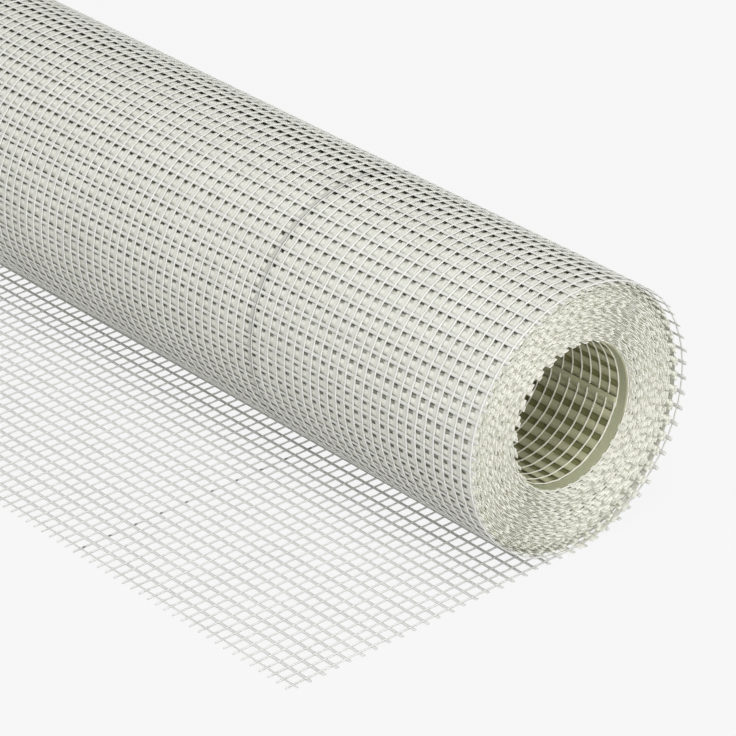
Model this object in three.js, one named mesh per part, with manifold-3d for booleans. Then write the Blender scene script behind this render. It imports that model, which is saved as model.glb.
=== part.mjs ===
// A roll of glass-fibre mesh, one metre wide, lying on the loose end that is rolled out in front of it.
// Millimetres, +Z up. The roll's axis runs along X, the loose end points to -Y, and the origin is the middle
// of the bounding box, on the floor. The whole roll is one length of fabric, so it is one solid: its threads
// are not cut out, and its turns show as a spiral groove in both ends.
import * as THREE from "three";
import { mergeVertices } from "three/addons/utils/BufferGeometryUtils.js";
import Module from "manifold-3d";

// Driving sizes of the roll.
const rollWidth = 1000;
const outerRadius = 45.7;
const boreRadius = 23.6;
const meshThickness = 0.48;
const looseEndLength = 117.5;

// The bore is not quite on the roll's axis, because the coil is wound a little thicker on one side.
const boreShiftFront = 1.2;
const boreShiftUp = 1.3;

// The outer turn stands off the coil on the far side, between these angles.
const standOff = 2.0;
const standOffAtEnds = 0.3;
const standOffFrom = THREE.MathUtils.degToRad(14);
const standOffTo = THREE.MathUtils.degToRad(158);

// The fabric's inner end makes a step in the bore at this angle.
const innerEndAngle = THREE.MathUtils.degToRad(88);

// The spiral groove in each end: one turn of it stands for about five turns of fabric.
const grooveTurns = 9;
const grooveWidth = 0.6;
const grooveDepth = 1.5;

// The crevice where the outer turn comes down on the loose end is filled over this angle.
const creviceAngle = THREE.MathUtils.degToRad(7);

const outlineSteps = 72;
const grooveStepsPerTurn = 36;
const fullTurn = 2 * Math.PI;
const weldDistance = 1e-4;

const meshColour = 0xd9dbd3;
const meshRoughness = 0.72;

const wasm = await Module();
wasm.setup();

// Points of the section are (y, z), with y = 0 under the roll's axis and z = 0 on the floor. Angles start
// under the axis, where the fabric leaves the floor, and climb the far side (+Y) first, as the fabric does.
function aroundRoll(angle, radius) {
  return new THREE.Vector2(radius * Math.sin(angle), outerRadius - radius * Math.cos(angle));
}

function aroundBore(angle, radius) {
  return aroundRoll(angle, radius).add(new THREE.Vector2(-boreShiftFront, boreShiftUp));
}

// The outer turn comes in by one thickness in a whole turn, and so lands on top of the loose end.
function outsideRadius(angle) {
  return outerRadius - (meshThickness * angle) / fullTurn;
}

function sweep(from, to, steps) {
  return Array.from({ length: steps + 1 }, (_, i) => from + ((to - from) * i) / steps);
}

// The roll's outline: along the floor, round the outer turn, and back over the loose end.
function outline() {
  const landingAngle = fullTurn - creviceAngle;
  const turn = sweep(0, landingAngle, outlineSteps).map((angle) => aroundRoll(angle, outsideRadius(angle)));
  const landing = turn[turn.length - 1];
  return new THREE.Shape([
    new THREE.Vector2(-looseEndLength, 0),
    ...turn,
    new THREE.Vector2(landing.x, meshThickness),
    new THREE.Vector2(-looseEndLength, meshThickness),
  ]);
}

// The long crescent between the outer turn and the coil.
function standOffHole() {
  const swept = standOffTo - standOffFrom;
  const angles = sweep(standOffFrom, standOffTo, Math.round((outlineSteps * swept) / fullTurn));
  const wall = (angle, gap) => aroundRoll(angle, outsideRadius(angle) - meshThickness - gap);
  const gapAt = (angle) => {
    const bulge = Math.sin((Math.PI * (angle - standOffFrom)) / swept);
    return standOffAtEnds + (standOff - standOffAtEnds) * bulge;
  };
  const outside = angles.map((angle) => wall(angle, 0));
  const inside = angles.map((angle) => wall(angle, gapAt(angle)));
  return new THREE.Path([...outside, ...inside.reverse()]);
}

// The bore, which narrows by one thickness in a whole turn up to the step at the fabric's inner end.
function boreHole() {
  return new THREE.Path(
    sweep(0, fullTurn, outlineSteps).map((turned) =>
      aroundBore(innerEndAngle + turned, boreRadius + meshThickness * (1 - turned / fullTurn)),
    ),
  );
}

// A strip as wide as the groove, wound evenly from inside the outer turn to just outside the bore.
function grooveStrip() {
  const wound = grooveTurns * fullTurn;
  const margin = 1 / (2 * (grooveTurns + 1));
  const outermost = outerRadius - 2 * meshThickness - standOff;
  const innermost = boreRadius + meshThickness;
  const edge = (side) =>
    sweep(0, wound, grooveTurns * grooveStepsPerTurn).map((angle) => {
      const outside = aroundRoll(angle, outermost);
      const inside = aroundBore(angle, innermost);
      const middle = margin + (1 - 2 * margin) * (angle / wound);
      return outside.lerp(inside, middle + (side * grooveWidth) / 2 / outside.distanceTo(inside));
    });
  return new THREE.Shape([...edge(-1), ...edge(1).reverse()]);
}

// A (y, z) shape pulled out along X, from x to x + length, as a solid.
function solidAlongX(shape, x, length) {
  const geometry = new THREE.ExtrudeGeometry(shape, { depth: length, bevelEnabled: false });
  const axes = [new THREE.Vector3(0, 1, 0), new THREE.Vector3(0, 0, 1), new THREE.Vector3(1, 0, 0)];
  geometry.applyMatrix4(new THREE.Matrix4().makeBasis(...axes).setPosition(x, 0, 0));
  geometry.deleteAttribute("normal");
  geometry.deleteAttribute("uv");
  const merged = mergeVertices(geometry, weldDistance);
  return new wasm.Manifold(
    new wasm.Mesh({
      numProp: 3,
      vertProperties: new Float32Array(merged.attributes.position.array),
      triVerts: new Uint32Array(merged.index.array),
    }),
  );
}

function geometryOf(solid) {
  const mesh = solid.getMesh();
  const geometry = new THREE.BufferGeometry();
  geometry.setAttribute("position", new THREE.BufferAttribute(mesh.vertProperties, mesh.numProp));
  geometry.setIndex(new THREE.BufferAttribute(mesh.triVerts, 1));
  geometry.computeVertexNormals();
  return geometry;
}

function rollGeometry() {
  const section = outline();
  section.holes.push(standOffHole(), boreHole());
  const groove = grooveStrip();
  const end = rollWidth / 2;
  const cutLength = 2 * grooveDepth;
  const rollBody = solidAlongX(section, -end, rollWidth);
  const nearCut = solidAlongX(groove, end - grooveDepth, cutLength);
  const farCut = solidAlongX(groove, grooveDepth - cutLength - end, cutLength);
  return geometryOf(rollBody.subtract(nearCut).subtract(farCut));
}

const meshRoll = new THREE.Mesh(
  rollGeometry(),
  new THREE.MeshStandardMaterial({ color: meshColour, roughness: meshRoughness, metalness: 0 }),
);
meshRoll.name = "mesh_roll";
meshRoll.position.y = (looseEndLength - outsideRadius(fullTurn / 4)) / 2;

const roll = new THREE.Group();
roll.add(meshRoll);

export default roll;
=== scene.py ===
# A roll of coated glass-fibre mesh, lying on the loose end that is rolled out in front of it.
# The CAD roll is one solid. Here it is dressed in its real yarns: the fabric is laid out flat as arrays of
# yarns and then wound up along the section of the roll.
import math

import bmesh
import bpy
import numpy as np
from mathutils import Matrix, Vector


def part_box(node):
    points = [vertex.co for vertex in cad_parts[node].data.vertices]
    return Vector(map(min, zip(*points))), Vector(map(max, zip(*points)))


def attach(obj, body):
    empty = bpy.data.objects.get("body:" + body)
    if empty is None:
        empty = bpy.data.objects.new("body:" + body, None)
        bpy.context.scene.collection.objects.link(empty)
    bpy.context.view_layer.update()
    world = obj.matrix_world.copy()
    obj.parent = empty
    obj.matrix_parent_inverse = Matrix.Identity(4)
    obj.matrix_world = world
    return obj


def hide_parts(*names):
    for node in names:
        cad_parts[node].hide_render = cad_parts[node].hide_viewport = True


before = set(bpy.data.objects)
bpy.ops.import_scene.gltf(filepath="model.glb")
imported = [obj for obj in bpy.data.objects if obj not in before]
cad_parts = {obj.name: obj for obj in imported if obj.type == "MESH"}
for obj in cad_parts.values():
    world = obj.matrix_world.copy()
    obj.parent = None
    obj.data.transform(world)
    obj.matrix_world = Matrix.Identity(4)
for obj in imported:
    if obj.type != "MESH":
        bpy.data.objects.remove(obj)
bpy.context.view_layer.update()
mm = 0.001
fullTurn = 2 * math.pi
rollLow, rollHigh = (Vector(corner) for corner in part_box("mesh_roll"))
print("frame loaded")

# The fabric, laid flat: x runs across it, along the roll, and s runs along it, from the loose end inwards.
fabric = {
    "width": rollHigh.x - rollLow.x,
    "longPitch": 4.0 * mm,
    "crossPitch": 5.124 * mm,
    "crossTip": 2.0 * mm,  # a cross yarn sticks out this far past the last long yarn
    "longTip": 3.0 * mm,  # a long yarn sticks out this far past the first cross yarn
    "reach": 0.38 * mm,  # half the fabric's thickness where yarns cross
    "waver": 0.16 * mm,  # how far the yarns stray from straight, as a few long waves
    "waverLength": 90 * mm,
    "waves": 6,
    "waveStep": 0.35,  # each wave is longer than the one before by this share of the first
    "longJitter": 0.07 * mm,
    "crossJitter": 0.10 * mm,
    "seed": 11,
    "markerYarn": 25,  # counted from the near edge
    "dashPlace": 0.22,  # on the loose end the marker shows as dashes, this far past a cross yarn, in cells
    "dashSharpness": 40,
    # how strong the dye is: between the dashes, on the outer turn, on the second turn, deeper
    "dyeLevels": (0.10, 0.85, 0.22, 0.9),
}

# The section of the roll, in the same sizes as the CAD solid.
coil = {
    "looseEnd": 117.5 * mm,
    "outerRadius": 45.7 * mm,
    "boreRadius": 23.6 * mm,
    "boreShift": Vector((-1.2 * mm, 1.3 * mm)),
    "turnPitch": 0.48 * mm,
    "turns": 44,
    "innerEndAngle": math.radians(88),
    "standOff": 2.0 * mm,
    "standOffFrom": math.radians(14),
    "standOffTo": math.radians(158),
    # how far the fabric has slipped along the roll at each of these turns, outermost first
    "slipTurns": (0, 1, 1.3, 2, 5, 12, 44.3),
    "slips": (0, 0, -1.55 * mm, -1.5 * mm, -2.6 * mm, -1.2 * mm, -1.6 * mm),
    "slipJitter": 0.12 * mm,
    # how far it has slipped around the roll at each of these, which sets how the cells line up
    "slackTurns": (0, 1.35, 5, 40, 44.3),
    "slacks": (0, 0, -4.4 * mm, 0, 0),
    "underFrom": 1,  # turns: from here the fabric lies under the outer turn,
    "underFully": 1.3,  # and from here it wanders fully
    "drift": 0.20 * mm,  # how far the turns under the outer one wander to and fro, along the roll
    "driftLength": 430 * mm,
    "driftPerTurn": 0.37,
    "squeeze": 0.35 * mm,  # and around it
    "squeezeLength": 610 * mm,
}
axisY = rollLow.y + coil["looseEnd"]
endAngle = fullTurn * coil["turns"] + coil["innerEndAngle"]


# Angles start under the axis, where the fabric leaves the floor, and climb the far side first.
def aroundRoll(angle, radius):
    return axisY + radius * np.sin(angle), coil["outerRadius"] - radius * np.cos(angle)


def standOffAt(angle):
    share = (angle - coil["standOffFrom"]) / (coil["standOffTo"] - coil["standOffFrom"])
    return coil["standOff"] * np.sin(np.pi * np.clip(share, 0, 1))


# The coil's middle surface at any angle, as a blend from its outermost turn (0) to the bore (1).
def coilPoint(angle, depth):
    within = np.mod(angle, fullTurn)
    outer = coil["outerRadius"] - fabric["reach"] - coil["turnPitch"] - standOffAt(within)
    outerY, outerZ = aroundRoll(angle, outer)
    boreY, boreZ = aroundRoll(angle, coil["boreRadius"] + fabric["reach"])
    boreY, boreZ = boreY + coil["boreShift"].x, boreZ + coil["boreShift"].y
    return outerY + (boreY - outerY) * depth, outerZ + (boreZ - outerZ) * depth


def windingPath():
    angle = np.arange(0, endAngle, math.radians(1))
    first = aroundRoll(angle, coil["outerRadius"] - fabric["reach"] - coil["turnPitch"] * angle / fullTurn)
    later = coilPoint(angle, (angle - fullTurn) / (endAngle - fullTurn))
    onFirst = angle < fullTurn
    y, z = (np.where(onFirst, a, b) for a, b in zip(first, later))
    y = np.concatenate([[axisY - coil["looseEnd"] - fabric["longTip"]], y])
    z = np.concatenate([[fabric["reach"]], z])
    step = np.hypot(np.diff(y), np.diff(z))
    length = np.concatenate([[0], np.cumsum(step)]) - step[0]
    tangentY, tangentZ = np.gradient(y, length), np.gradient(z, length)
    size = np.hypot(tangentY, tangentZ)
    angle = np.concatenate([[0], angle])
    # the outward side of the wound fabric is the side that faces the floor on the loose end
    return {
        "s": length,
        "y": y,
        "z": z,
        "outY": tangentZ / size,
        "outZ": -tangentY / size,
        "angle": angle,
    }


path = windingPath()
firstCross = -coil["looseEnd"] + fabric["longTip"]
crossCount = int((path["s"][-1] - fabric["longTip"] - firstCross) / fabric["crossPitch"])
longCount = int(round((fabric["width"] - 2 * fabric["crossTip"]) / fabric["longPitch"])) + 1
firstLong = -(longCount - 1) / 2 * fabric["longPitch"]
rng = np.random.default_rng(fabric["seed"])
longJitter = rng.normal(0, fabric["longJitter"], longCount + 2)
crossJitter = rng.normal(0, fabric["crossJitter"], crossCount + 200)
slipNoise = np.cumsum(rng.normal(0, 1, coil["turns"] + 3))
slipNoise = (slipNoise - slipNoise.mean()) / slipNoise.std() * coil["slipJitter"]
waverPhases = rng.uniform(0, fullTurn, (2, fabric["waves"]))
waverTurns = rng.uniform(0, fullTurn, (2, fabric["waves"]))
print(f"the fabric has {longCount} long yarns and {crossCount} cross yarns in {coil['turns']} turns")


def angleAt(s):
    return np.interp(s, path["s"], path["angle"])


def lengthAt(angle):
    return float(np.interp(angle, path["angle"][1:], path["s"][1:]))


# The cross yarn nearest to a point along the fabric.
def crossAt(s):
    return int(round((s - firstCross) / fabric["crossPitch"]))


def waver(x, s, which):
    total = 0
    for i in range(fabric["waves"]):
        size = fullTurn / (fabric["waverLength"] * (1 + fabric["waveStep"] * i))
        turned = waverTurns[which, i]
        total = total + np.sin(size * (x * math.cos(turned) + s * math.sin(turned)) + waverPhases[which, i])
    return fabric["waver"] * total / math.sqrt(fabric["waves"])


# A straight bar along X with its long edges cut into rings, as a bmesh.
def bar(sides, width, height, length, rings, turned=0.0):
    bm = bmesh.new()
    bmesh.ops.create_cone(bm, cap_ends=True, segments=sides, radius1=1, radius2=1, depth=length)
    lengthwise = [e for e in bm.edges if abs(e.verts[0].co.z - e.verts[1].co.z) > length / 2]
    if rings > 2:
        bmesh.ops.subdivide_edges(bm, edges=lengthwise, cuts=rings - 2)
    bmesh.ops.rotate(bm, verts=bm.verts, matrix=Matrix.Rotation(turned, 3, "Z"))
    spread = [max(abs(v.co[i]) for v in bm.verts) for i in (0, 1)]
    bmesh.ops.scale(bm, verts=bm.verts, vec=(width / 2 / spread[0], height / 2 / spread[1], 1))
    bmesh.ops.rotate(bm, verts=bm.verts, matrix=Matrix.Rotation(math.pi / 2, 3, "Y"))
    bmesh.ops.rotate(bm, verts=bm.verts, matrix=Matrix.Rotation(math.pi / 2, 3, "X"))
    return bm


def objectOf(bm, name):
    mesh = bpy.data.meshes.new(name)
    bm.to_mesh(mesh)
    bm.free()
    piece = bpy.data.objects.new(name, mesh)
    bpy.context.scene.collection.objects.link(piece)
    return piece


# Repeats a piece in a row and makes the result real.
def repeat(piece, count, step):
    array = piece.modifiers.new("row", "ARRAY")
    array.use_relative_offset = False
    array.use_constant_offset = True
    array.constant_offset_displace = step
    array.count = count
    shown = piece.evaluated_get(bpy.context.evaluated_depsgraph_get())
    old = piece.data
    piece.data = bpy.data.meshes.new_from_object(shown)
    piece.modifiers.clear()
    bpy.data.meshes.remove(old)
    return piece


def pointsOf(mesh):
    points = np.empty(len(mesh.vertices) * 3)
    mesh.vertices.foreach_get("co", points)
    return points.reshape(-1, 3)


# Winds a flat piece up: its points are (x, s, outward height). The flat place stays as the piece's UV map.
def windUp(piece, flat):
    mesh = piece.data
    x, s, out = flat.T
    angle = angleAt(s)
    turn = angle / fullTurn
    longIndex = np.clip(np.round((x - firstLong) / fabric["longPitch"]).astype(int), 0, longCount)
    crossIndex = np.clip(np.round((s - firstCross) / fabric["crossPitch"]).astype(int), 0, crossCount)
    slip = np.interp(turn, coil["slipTurns"], coil["slips"])
    slip = slip + np.interp(turn, np.arange(len(slipNoise)), slipNoise - slipNoise[0])
    under = np.interp(turn, (coil["underFrom"], coil["underFully"]), (0, 1))
    wander = np.sin(fullTurn * (x / coil["driftLength"] + coil["driftPerTurn"] * turn))
    squeeze = np.sin(fullTurn * (x / coil["squeezeLength"] - coil["driftPerTurn"] * turn))
    placeX = x + waver(x, s, 0) + longJitter[longIndex] + slip + under * coil["drift"] * wander
    slack = np.interp(turn, coil["slackTurns"], coil["slacks"])
    placeS = s + waver(x, s, 1) + crossJitter[crossIndex] + slack + under * coil["squeeze"] * squeeze
    y = np.interp(placeS, path["s"], path["y"]) + out * np.interp(placeS, path["s"], path["outY"])
    z = np.interp(placeS, path["s"], path["z"]) + out * np.interp(placeS, path["s"], path["outZ"])
    points = np.stack([placeX, y, z], axis=1)
    mesh.vertices.foreach_set("co", points.ravel())
    corners = np.empty(len(mesh.loops), dtype=np.int32)
    mesh.loops.foreach_get("vertex_index", corners)
    while mesh.uv_layers:
        mesh.uv_layers.remove(mesh.uv_layers[0])
    layer = mesh.uv_layers.new(name="flatCloth")
    layer.data.foreach_set("uv", np.stack([x, s], axis=1)[corners].ravel())
    mesh.shade_smooth()
    mesh.update()
    return piece


# The marker yarn is dyed: in dashes on the loose end, and on the outer turn only along its far edge.
def dyeMarker(piece, flat):
    x, s, _ = flat.T
    turn = angleAt(s) / fullTurn
    marker = firstLong + (longCount - 1 - fabric["markerYarn"]) * fabric["longPitch"]
    onMarker = np.abs(x - marker) < fabric["longPitch"] / 4
    between, outer, second, deeper = fabric["dyeLevels"]
    beat = 0.5 + 0.5 * np.cos(np.pi * ((s - firstCross) / fabric["crossPitch"] - fabric["dashPlace"]))
    dashes = between + (1 - between) * beat ** fabric["dashSharpness"]
    level = np.select([s < 0, turn < 1, turn < 2], [dashes, outer, second], deeper)
    level = np.where((s > 0) & (turn < 1) & (x > marker), 0, level)
    dye = piece.data.attributes.new("dye", "FLOAT", "POINT")
    dye.data.foreach_set("value", np.where(onMarker, level, 0.0))
    return piece


# Cross yarns: flat bars that run the width of the fabric, with extra rings at their cut ends.
crossYarn = {
    "width": 1.3 * mm,
    "height": 0.26 * mm,
    "endRings": (0.0, 1.0 * mm, 2.2 * mm, 8 * mm),
    "firstWidth": 0.6,  # the first cross yarn is drawn thinner than the rest
    "tipBend": 0.09 * mm,
    "outwardBend": 0.5,  # the part of that bend that is off the fabric
    "tipCut": 0.30 * mm,  # how unevenly the ends are cut,
    "longestTip": 0.2 * mm,  # and how far they go past the edge of the fabric at most
    "seed": 100,
    "rings": 60,
    "ringsInside": 28,
}


def crossYarns(name, fromCross, toCross, rings, sides=6, width=1.0, inset=0.0):
    count = toCross - fromCross
    length = fabric["width"] - 2 * inset
    turned = math.pi / 6 if sides == 6 else math.pi / 4
    yarn = bar(sides, crossYarn["width"] * width, crossYarn["height"], length, rings, turned)
    piece = repeat(objectOf(yarn, name), count, (0, fabric["crossPitch"], 0))
    flat = pointsOf(piece.data)
    ring = np.round((flat[:, 0] + length / 2) / length * (rings - 1)).astype(int)
    ends = crossYarn["endRings"]
    middle = np.linspace(ends[-1], length - ends[-1], rings - 2 * len(ends) + 2)[1:-1]
    places = np.concatenate([ends, middle, length - np.array(ends[::-1])]) - length / 2
    flat[:, 0] = places[ring]
    index = np.round(flat[:, 1] / fabric["crossPitch"]).astype(int)
    if fromCross == 0:
        flat[index == 0, 1] *= crossYarn["firstWidth"]
    flat[:, 1] += firstCross + fromCross * fabric["crossPitch"]
    frayEnds(flat, ring, index, rings, fromCross)
    return windUp(piece, flat)


# The cut ends of the cross yarns differ in length and are bent a little out of line.
def frayEnds(flat, ring, index, rings, fromCross):
    fray = np.random.default_rng(crossYarn["seed"] + fromCross)
    count = index.max() + 1
    for end, outermost in ((0, ring == 0), (1, ring == rings - 1)):
        sign = 1 if end else -1
        cut = fray.normal(0, crossYarn["tipCut"], count)
        bend = fray.normal(0, crossYarn["tipBend"], (2, count))
        flat[outermost, 0] += sign * np.minimum(cut[index[outermost]], crossYarn["longestTip"])
        flat[outermost, 1] += bend[0][index[outermost]]
        flat[outermost, 2] += crossYarn["outwardBend"] * bend[1][index[outermost]]


# Long yarns: each is one strand of the pair that holds the cross yarns. It rises over every cross yarn and
# dips between them, on the outward side (1) or the inward side (-1) of the fabric.
longYarn = {
    "width": 0.56 * mm,
    "height": 0.24 * mm,
    "rise": 0.25 * mm,
    "dip": 0.10 * mm,
    "straightAt": 0.6,  # where a yarn without rings between the cross yarns runs, from dip (0) to rise (1)
    "sway": 0.06 * mm,
}


def longYarns(
    name,
    fromCross,
    toCross,
    side,
    sides=4,
    ringsPerCell=2,
    firstYarn=0,
    count=longCount,
    tip=False,
    width=1.0,
):
    cells = toCross - fromCross
    rings = cells * ringsPerCell + 1
    length = cells * fabric["crossPitch"]
    turned = math.pi / 4 if sides == 4 else 0.0
    yarn = bar(sides, longYarn["width"] * width, longYarn["height"], length, rings, turned)
    bmesh.ops.rotate(yarn, verts=yarn.verts, matrix=Matrix.Rotation(math.pi / 2, 3, "Z"))
    bmesh.ops.translate(yarn, verts=yarn.verts, vec=(0, length / 2, 0))
    if tip:
        lengthenTip(yarn)
    piece = repeat(objectOf(yarn, name), count, (fabric["longPitch"], 0, 0))
    flat = pointsOf(piece.data)
    cell = flat[:, 1] / fabric["crossPitch"]
    over = 0.5 + 0.5 * np.cos(fullTurn * cell) if ringsPerCell > 1 else longYarn["straightAt"]
    flat[:, 2] += side * (longYarn["dip"] + (longYarn["rise"] - longYarn["dip"]) * over)
    if ringsPerCell > 1:
        flat[:, 0] += side * longYarn["sway"] * np.sin(np.pi * cell)
    flat[:, 0] += firstLong + firstYarn * fabric["longPitch"]
    flat[:, 1] += firstCross + fromCross * fabric["crossPitch"]
    dyeMarker(windUp(piece, flat), flat)
    if sides == 3:
        piece.data.shade_flat()
    return piece


# The cut ends of the long yarns stick out past the first cross yarn.
def lengthenTip(yarn):
    cap = min(yarn.faces, key=lambda face: face.calc_center_median().y)
    grown = bmesh.ops.extrude_face_region(yarn, geom=[cap])["geom"]
    moved = [v for v in grown if isinstance(v, bmesh.types.BMVert)]
    bmesh.ops.translate(yarn, verts=moved, vec=(0, -fabric["longTip"], 0))


# Shader maths: wraps a socket, so that an expression on values adds its Math nodes.
class Value:
    def __init__(self, shader, socket):
        self.shader = shader
        self.socket = socket

    def join(self, operation, *others):
        return self.shader.add("ShaderNodeMath", {"operation": operation}, self, *others)

    def __add__(self, other):
        return self.join("ADD", other)

    def __radd__(self, other):
        return self.join("ADD", other)

    def __sub__(self, other):
        return self.join("SUBTRACT", other)

    def __rsub__(self, other):
        return self.shader.add("ShaderNodeMath", {"operation": "SUBTRACT"}, other, self)

    def __mul__(self, other):
        return self.join("MULTIPLY", other)

    def __rmul__(self, other):
        return self.join("MULTIPLY", other)


# The node tree of a material or of the world, and the shader in it.
class Shader:
    def __init__(self, owner, surface="Principled BSDF"):
        owner.use_nodes = True
        self.owner = owner
        self.nodes = owner.node_tree.nodes
        self.links = owner.node_tree.links
        self.surface = self.nodes[surface]

    def put(self, socket, value):
        if isinstance(value, Value):
            self.links.new(value.socket, socket)
        else:
            socket.default_value = value

    # Adds a node: its settings first, then its sockets, in order or by name.
    def add(self, kind, settings=None, *inputs, output=0, **named):
        node = self.nodes.new(kind)
        for key, value in (settings or {}).items():
            setattr(node, key, value)
        for i, value in enumerate(inputs):
            self.put(node.inputs[i], value)
        for key, value in named.items():
            self.put(node.inputs[key], value)
        return Value(self, node.outputs[output])

    def mix(self, share, one, other):
        sockets = {"A": one, "B": other}
        node = self.nodes.new("ShaderNodeMix")
        node.data_type = "RGBA"
        self.put(node.inputs[0], share)
        for socket in node.inputs:
            if socket.type == "RGBA" and socket.name in sockets:
                value = sockets[socket.name]
                self.put(socket, value if isinstance(value, Value) else (*value, 1))
        return Value(self, next(s for s in node.outputs if s.type == "RGBA"))

    def set(self, name, value):
        self.put(self.surface.inputs[name], value)


def linear(*levels):
    return tuple(round(((c / 255 + 0.055) / 1.055) ** 2.4, 4) if c > 10 else c / 3295 for c in levels)


# Coated glass yarn: off-white, a little uneven, with fine filaments along the yarn.
yarnFinish = {
    "grain": 9000,  # spots per metre across the yarn
    "filament": 350,  # and along it
    "patches": 60,
    "dye": (34, 34, 32),
    "bump": 0.25,
    "bumpDepth": 0.03 * mm,
}


def yarnMaterial(name, colour, shade, roughness, alongFabric, grain=yarnFinish["grain"]):
    shader = Shader(bpy.data.materials.new(name))
    flatPlace = shader.add("ShaderNodeUVMap", {"uv_map": "flatCloth"})
    long = yarnFinish["filament"]
    stretch = (grain, long, 1) if alongFabric else (long, grain, 1)
    filamentPlace = shader.add("ShaderNodeMapping", None, flatPlace, Scale=stretch)
    filaments = shader.add("ShaderNodeTexNoise", {"noise_dimensions": "2D"}, Vector=filamentPlace, Scale=1.0)
    patchSize = yarnFinish["patches"]
    patchPlace = shader.add("ShaderNodeMapping", None, flatPlace, Scale=(patchSize, patchSize, 1))
    patches = shader.add("ShaderNodeTexNoise", {"noise_dimensions": "2D"}, Vector=patchPlace, Scale=1.0)
    coated = shader.mix(filaments * 0.5 + patches * 0.9 - 0.25, shade, colour)
    if alongFabric:
        dye = shader.add("ShaderNodeAttribute", {"attribute_name": "dye"}, output=2)
        coated = shader.mix(dye, coated, linear(*yarnFinish["dye"]))
    shader.set("Base Color", coated)
    shader.set("Roughness", filaments * 0.2 + (roughness - 0.1))
    depth = yarnFinish["bumpDepth"]
    bump = shader.add("ShaderNodeBump", None, Strength=yarnFinish["bump"], Distance=depth, Height=filaments)
    shader.set("Normal", bump)
    return shader.owner


# The deep turns, in painted light and shade: dark olive for the shade deep in the gaps, with the olive cast
# of light through many coated layers, and paler towards the ends of the roll, painted light where the light
# gets in.
coreFinish = {
    "spots": 900.0,
    "wallFrom": (28 * mm, 31 * mm),  # radius where the bore's colours turn into those of the wall
    "paintedLightFrom": (0.20, 0.37),  # metres from the middle of the roll where the wall turns pale with painted light
    "stripFrom": (0.4921, 0.4924),  # and where the plain strip starts
    # the dark olive of the wall and of the bore side is painted shade of the deep gaps; the pale wall is
    # painted light
    "wall": ((128, 129, 86), (152, 152, 110)),
    "paintedLightWall": ((224, 224, 200), (238, 238, 218)),
    "bore": ((122, 122, 80), (144, 144, 100)),
    "strip": ((165, 167, 138), (180, 182, 153)),
}


def coreMaterial():
    shader = Shader(bpy.data.materials.new("deep_turns"))
    place = shader.add("ShaderNodeTexCoord", output=3)
    noise = shader.add("ShaderNodeTexNoise", None, place, Scale=coreFinish["spots"], Detail=3.0)
    alongRoll = shader.add("ShaderNodeVectorMath", {"operation": "DOT_PRODUCT"}, place, (1, 0, 0), output=1)
    fromMiddle = alongRoll.join("ABSOLUTE")
    axis = (0, axisY, coil["outerRadius"])
    fromAxis = shader.add("ShaderNodeVectorMath", {"operation": "SUBTRACT"}, place, axis)
    fromAxis = shader.add("ShaderNodeVectorMath", {"operation": "MULTIPLY"}, fromAxis, (0, 1, 1))
    radius = shader.add("ShaderNodeVectorMath", {"operation": "LENGTH"}, fromAxis, output=1)
    outside = shader.add("ShaderNodeMapRange", {"clamp": True}, radius, *coreFinish["wallFrom"])
    lit = shader.add("ShaderNodeMapRange", {"clamp": True}, fromMiddle, *coreFinish["paintedLightFrom"])
    onStrip = shader.add("ShaderNodeMapRange", {"clamp": True}, fromMiddle, *coreFinish["stripFrom"])
    dark, pale, inBore, strip = (
        shader.mix(noise, *(linear(*levels) for levels in coreFinish[part]))
        for part in ("wall", "paintedLightWall", "bore", "strip")
    )
    colour = shader.mix(outside, shader.mix(onStrip, inBore, strip), shader.mix(lit, dark, pale))
    shader.set("Base Color", colour)
    shader.set("Roughness", noise * 0.2 + 0.7)
    return shader.owner


# The loose end's yarns are darker copies of the outer turn's yarns: painted shade.
looseShadedColours = linear(214, 214, 212), linear(196, 196, 194)
looseCrossLook = yarnMaterial("cross_yarn_loose_end", *looseShadedColours, 0.6, False)
looseLongLook = yarnMaterial("long_yarn_loose_end", linear(232, 232, 229), linear(214, 214, 211), 0.55, True)
outsideCross = yarnMaterial("cross_yarn_white", linear(216, 216, 211), linear(202, 202, 196), 0.5, False)
outsideLong = yarnMaterial("long_yarn_white", linear(234, 234, 230), linear(222, 222, 217), 0.45, True)
# The turns under the outer one, their deep cross yarns and the cut ends use copies of the same yarn, each
# with its own lightness set for how much light reaches it: painted light and shade. The inner and deep cross
# yarns are lighter than the outer turn's, painted light that makes up for the shade inside the roll, and the
# deep ones' slight olive tint is painted too, the cast of light through the coated layers.
innerCross = yarnMaterial("cross_yarn_inside", linear(224, 224, 216), linear(211, 211, 200), 0.55, False)
innerLong = yarnMaterial("long_yarn_inside", linear(218, 218, 209), linear(205, 205, 194), 0.5, True)
deepCross = yarnMaterial("cross_yarn_deep", linear(238, 239, 228), linear(225, 226, 212), 0.55, False)
# The cut ends and edge yarns at the ends of the roll are lightened copies: painted light on the end faces.
tipLitColours = linear(254, 254, 248), linear(226, 226, 212)
tipCross = yarnMaterial("cross_yarn_ends", *tipLitColours, 0.55, False, grain=700)
tipLong = yarnMaterial("long_yarn_edge", linear(246, 246, 238), linear(232, 232, 220), 0.5, True)
# The bore's yarns are copies too: the long yarns lightened to cream, painted light, and the cross yarns
# darker and olive, painted shade of the bore with the olive cast of light that has come through many coated
# layers.
boreShadeColours = linear(210, 209, 177), linear(186, 185, 152)
boreCross = yarnMaterial("cross_yarn_bore", *boreShadeColours, 0.55, False, grain=1500)
boreLong = yarnMaterial("long_yarn_bore", linear(252, 250, 238), linear(244, 241, 226), 0.5, True)


def dress(piece, material):
    piece.data.materials.clear()
    piece.data.materials.append(material)
    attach(piece, "root")
    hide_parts("mesh_roll")
    return piece


# Where each turn of the fabric starts, counted in cross yarns.
turnStart = [crossAt(lengthAt(fullTurn * turn)) for turn in range(coil["turns"] + 1)] + [crossCount]
lastTurn = coil["turns"]

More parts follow.
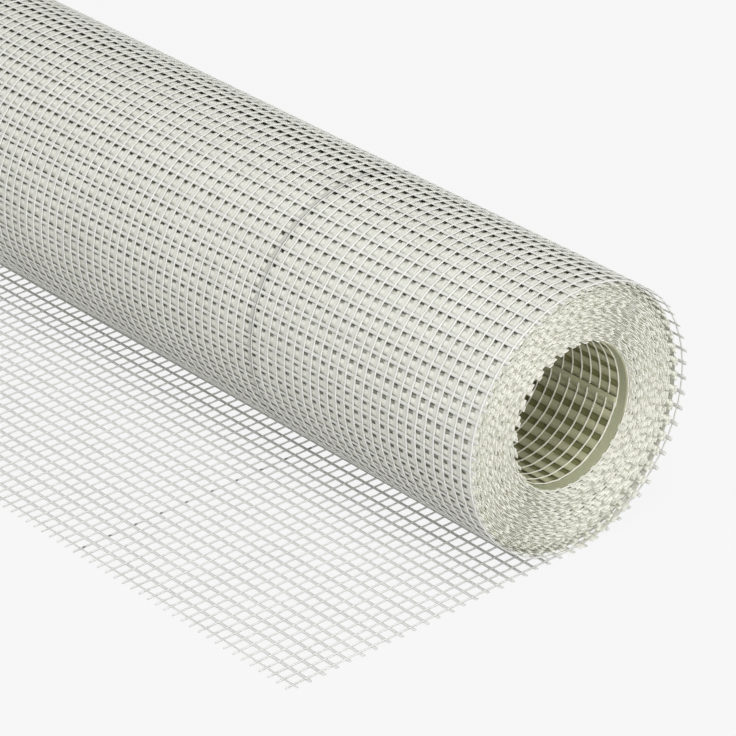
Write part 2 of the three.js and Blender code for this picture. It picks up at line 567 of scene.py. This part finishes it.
# The loose end, which is a free sheet. Its area is that of the cross yarns alone.
looseEnd = {
    "flatSize": (fabric["width"], coil["looseEnd"]),
    "yarnArea": 0.036,
    "crossWidth": 0.95,  # in cross yarns
    "longWidth": 0.8,  # in long yarns
    "ringsPerCell": 2,
    "ringsPerDash": 10,
}
looseEnds = 0, turnStart[0]
looseCross = crossYarns("loose_end_cross_yarns", *looseEnds, crossYarn["rings"], width=looseEnd["crossWidth"])
dress(looseCross, looseCrossLook)
markerAt = longCount - 1 - fabric["markerYarn"]
looseParts = [
    ("far", 0, markerAt, looseEnd["ringsPerCell"]),
    ("marker", markerAt, 1, looseEnd["ringsPerDash"]),
    ("near", markerAt + 1, fabric["markerYarn"], looseEnd["ringsPerCell"]),
]
for name, first, count, rings in looseParts:
    longs = longYarns(
        f"loose_end_long_yarns_{name}",
        *looseEnds,
        -1,
        ringsPerCell=rings,
        firstYarn=first,
        count=count,
        tip=True,
        width=looseEnd["longWidth"],
    )
    dress(longs, looseLongLook)
underWidth = looseEnd["longWidth"]
looseUnder = longYarns(
    "loose_end_under_yarns", *looseEnds, 1, sides=3, ringsPerCell=1, tip=True, width=underWidth
)
dress(looseUnder, looseLongLook)
print("loose end laid")

# The outer turn, in two lengths of the roll.
outerCross = crossYarns("outer_turn_cross_yarns", turnStart[0], turnStart[1], crossYarn["rings"])
dress(outerCross, outsideCross)
half = longCount // 2
for name, first, count in (("far", 0, half), ("near", half, longCount - half)):
    outerLong = longYarns(
        f"outer_turn_long_yarns_{name}", turnStart[0], turnStart[1], 1, firstYarn=first, count=count
    )
    dress(outerLong, outsideLong)
print("outer turn wound")

# The turns that show through the outer one. The second turn's yarns are pressed flat and wide.
nextTurns = {
    "flattened": (3.0, 1.9, 1.3),  # how wide the long yarns of turns 2, 3 and 4 are, in yarns
    "flattenedCross": 2.2,  # and the cross yarns of turn 2, in cross yarns
    "deepCross": 1.2,  # and those of the turns after it
    "crossUpTo": 6,  # turns: past them, the cross yarns are only modelled at the ends of the roll
    "markerSlips": (-1.3 * mm, 2.2 * mm),  # the marker yarns of turns 3 and 4 have slipped apart
    "markerWidths": (1.9, 2.4),
}
for turn, width in enumerate(nextTurns["flattened"], 1):
    longs = longYarns(
        f"turn_{turn + 1}_long_yarns",
        turnStart[turn],
        turnStart[turn + 1],
        1,
        sides=3,
        ringsPerCell=1,
        width=width,
    )
    dress(longs, innerLong)
insideRings = crossYarn["ringsInside"]
secondWidth = nextTurns["flattenedCross"]
secondCross = crossYarns(
    "turn_2_cross_yarns", turnStart[1], turnStart[2], insideRings, sides=4, width=secondWidth
)
dress(secondCross, innerCross)
nextEnd = turnStart[nextTurns["crossUpTo"]]
deepWidth = nextTurns["deepCross"]
nextCross = crossYarns(
    "next_turns_cross_yarns", turnStart[2], nextEnd, insideRings, sides=4, width=deepWidth
)
dress(nextCross, deepCross)
for turn, slip, width in zip((2, 3), nextTurns["markerSlips"], nextTurns["markerWidths"]):
    deepMarker = longYarns(
        f"turn_{turn + 1}_marker_yarn",
        turnStart[turn],
        turnStart[turn + 1],
        1,
        sides=3,
        ringsPerCell=1,
        firstYarn=markerAt,
        count=1,
        width=width,
    )
    deepMarker.data.transform(Matrix.Translation((slip, 0, 0)))
    dress(deepMarker, innerLong)
print("inner turns wound")

# The innermost turn, which shows in the bore. It has lost its outermost long yarn at each edge.
boreTurn = {
    "from": turnStart[lastTurn - 1] + (turnStart[lastTurn + 1] - turnStart[lastTurn]),
    "crossWidth": 2.25,  # in cross yarns
    "inset": 5.8 * mm,  # how far in from the edges its cross yarns end
}
boreFrom = boreTurn["from"]
boreLongs = longYarns("bore_turn_long_yarns", boreFrom, crossCount, -1, firstYarn=1, count=longCount - 2)
dress(boreLongs, boreLong)
boreCrosses = crossYarns(
    "bore_turn_cross_yarns",
    boreFrom,
    crossCount + 1,
    insideRings,
    sides=4,
    width=boreTurn["crossWidth"],
    inset=boreTurn["inset"],
)
dress(boreCrosses, boreCross)
print("innermost turn wound")


# The cut ends of the cross yarns of the turns between, and their two outermost long yarns at each edge.
endTips = {
    "length": 6.5 * mm,
    "width": 1.25,  # in cross yarns
    "height": 0.85,
    "rings": 3,
    "cut": 0.12 * mm,
    "outwardBend": 0.4,
    "seed": 300,
    "edgeFrom": 4,  # the turn where the edge yarns start
}


def edgeTips(name, fromCross, toCross, end):
    length = endTips["length"]
    rings = endTips["rings"]
    width = crossYarn["width"] * endTips["width"]
    yarn = bar(4, width, crossYarn["height"] * endTips["height"], length, rings, math.pi / 4)
    piece = repeat(objectOf(yarn, name), toCross - fromCross, (0, fabric["crossPitch"], 0))
    flat = pointsOf(piece.data)
    ring = np.round((flat[:, 0] + length / 2) / length * (rings - 1)).astype(int)
    index = np.round(flat[:, 1] / fabric["crossPitch"]).astype(int)
    flat[:, 0] += end * (fabric["width"] - length) / 2
    flat[:, 1] += firstCross + fromCross * fabric["crossPitch"]
    fray = np.random.default_rng(endTips["seed"] + end)
    count = index.max() + 1
    outermost = ring == (rings - 1 if end > 0 else 0)
    picked = index[outermost]
    cut = fray.normal(0, endTips["cut"], count)
    flat[outermost, 0] += end * np.minimum(cut, crossYarn["longestTip"])[picked]
    flat[outermost, 1] += fray.normal(0, crossYarn["tipBend"], count)[picked]
    flat[outermost, 2] += endTips["outwardBend"] * fray.normal(0, crossYarn["tipBend"], count)[picked]
    windUp(piece, flat).data.shade_flat()
    return piece


edgeStart = turnStart[endTips["edgeFrom"]]
for name, end, first in (("near", 1, longCount - 2), ("far", -1, 0)):
    dress(edgeTips(f"{name}_end_cross_tips", nextEnd, boreFrom, end), tipCross)
    edge = longYarns(
        f"{name}_end_edge_yarns", edgeStart, boreFrom, 1, ringsPerCell=1, firstYarn=first, count=2
    )
    dress(edge, tipLong)
print("ends made")

# The deep turns, which show only as olive gaps in painted shade, and the plain strip at the edge of the
# innermost turn.
core = {
    "outerDepth": 0.125,  # depths go from the outermost turn of the coil (0) to the bore (1)
    "innerDepth": 0.965,
    "lipDepth": 0.985,
    "lipBackDepth": 0.96,
    "endInset": 5.5 * mm,  # how far in from each end of the roll the core stops
    "lipFrom": 6.0 * mm,
    "lipInset": 2.6 * mm,
    "slipsFrom": 0.5,  # deeper than this it has slipped along the roll as far as the innermost turn
    "spinRadius": 2,
    "segments": 120,
}


def deepTurns():
    half = fabric["width"] / 2
    side = (
        (core["outerDepth"], half - core["endInset"]),
        (core["lipBackDepth"], half - core["endInset"]),
        (core["lipBackDepth"], half - core["lipInset"]),
        (core["lipDepth"], half - core["lipInset"]),
        (core["lipDepth"], half - core["lipFrom"]),
        (core["innerDepth"], half - core["lipFrom"]),
    )
    profile = list(side) + [(depth, -x) for depth, x in reversed(side)]
    bm = bmesh.new()
    # spun as a plain ring first, wider where the depth is less, and then moved to the coil's own section
    corners = [bm.verts.new((core["spinRadius"] - depth, 0, x)) for depth, x in profile]
    outline = [bm.edges.new((corners[i - 1], corners[i])) for i in range(len(corners))]
    bmesh.ops.spin(
        bm, geom=corners + outline, axis=(0, 0, 1), angle=fullTurn, steps=core["segments"], use_merge=True
    )
    for v in bm.verts:
        depth = core["spinRadius"] - v.co.xy.length
        y, z = coilPoint(math.atan2(v.co.x, -v.co.y), depth)
        slip = coil["slips"][-1] if depth > core["slipsFrom"] else 0
        v.co = (v.co.z + slip, float(y), float(z))
    bmesh.ops.recalc_face_normals(bm, faces=bm.faces)
    piece = objectOf(bm, "deep_turns")
    piece.data.shade_flat()
    return piece


dress(deepTurns(), coreMaterial())
print("core made")

# The floor, the sky and the lights.
stage = {
    "floorSize": 8.0,
    "floorDrop": 0.3 * mm,  # keeps the floor clear of the lowest yarns
    "floorGlow": 0.895,
    "horizon": (0.9, 0.9, 0.9),  # as pale as the floor, so that its edge doesn't show
    "sky": (0.52, 0.52, 0.52),
    "paleUpTo": (0.02, 0.20),  # sines of the heights between which the horizon turns into sky
    # name, place, what it points at, size and power
    "lights": (
        ("top_softbox", (0.75, -0.4, 1.65), (0.4, 0, 0.05), 1.2, 16),
        ("right_softbox", (1.45, -0.3, 0.55), (0.45, 0, 0.05), 0.7, 5),
    ),
}


def makeStage():
    bm = bmesh.new()
    bmesh.ops.create_grid(bm, x_segments=1, y_segments=1, size=stage["floorSize"] / 2)
    bmesh.ops.translate(bm, verts=bm.verts, vec=(0, 0, -stage["floorDrop"]))
    floor = objectOf(bm, "floor")
    shader = Shader(bpy.data.materials.new("pale_floor"))
    shader.set("Base Color", (0.03, 0.03, 0.03, 1))
    shader.set("Roughness", 0.9)
    shader.set("Specular IOR Level", 0.0)
    shader.set("Emission Color", (1, 1, 1, 1))
    shader.set("Emission Strength", stage["floorGlow"])
    floor.data.materials.append(shader.owner)
    world = Shader(bpy.data.worlds.new("studio"), "Background")
    direction = world.add("ShaderNodeTexCoord")
    up = world.add("ShaderNodeVectorMath", {"operation": "DOT_PRODUCT"}, direction, (0, 0, 1), output=1)
    high = world.add("ShaderNodeMapRange", {"clamp": True}, up, *stage["paleUpTo"])
    world.set("Color", world.mix(high, stage["horizon"], stage["sky"]))
    bpy.context.scene.world = world.owner


def softLight(name, place, target, size, power):
    light = bpy.data.lights.new(name, "AREA")
    light.shape = "DISK"
    light.size = size
    light.energy = power
    lamp = bpy.data.objects.new(name, light)
    bpy.context.scene.collection.objects.link(lamp)
    lamp.location = place
    lamp.rotation_euler = (Vector(target) - Vector(place)).to_track_quat("-Z", "Y").to_euler()


makeStage()
for light in stage["lights"]:
    softLight(*light)
print("stage lit")

# The camera, seen from the near end of the roll.
view = {
    "fromNearEnd": Vector((669.19 * mm, -691.40 * mm, 592.67 * mm)),
    "azimuth": math.radians(47.946),
    "elevation": math.radians(28.833),
    "roll": math.radians(0.342),
    "lens": 178.53,
    "sensor": 36.0,
}


def makeCamera():
    azimuth, elevation = view["azimuth"], view["elevation"]
    flatSize = math.cos(elevation)
    back = Vector((math.sin(azimuth) * flatSize, -math.cos(azimuth) * flatSize, math.sin(elevation)))
    right = Vector((math.cos(azimuth), math.sin(azimuth), 0))
    up = back.cross(right)
    rolled = Matrix.Rotation(view["roll"], 3, back)
    axes = Matrix((rolled @ right, rolled @ up, back)).transposed()
    data = bpy.data.cameras.new("camera")
    data.lens = view["lens"]
    data.sensor_width = view["sensor"]
    data.clip_end = 50
    camera = bpy.data.objects.new("camera", data)
    bpy.context.scene.collection.objects.link(camera)
    nearEnd = Vector((rollHigh.x, axisY, 0))
    camera.matrix_world = Matrix.Translation(nearEnd + view["fromNearEnd"]) @ axes.to_4x4()
    bpy.context.scene.camera = camera


makeCamera()
bpy.context.scene.view_settings.view_transform = "Standard"
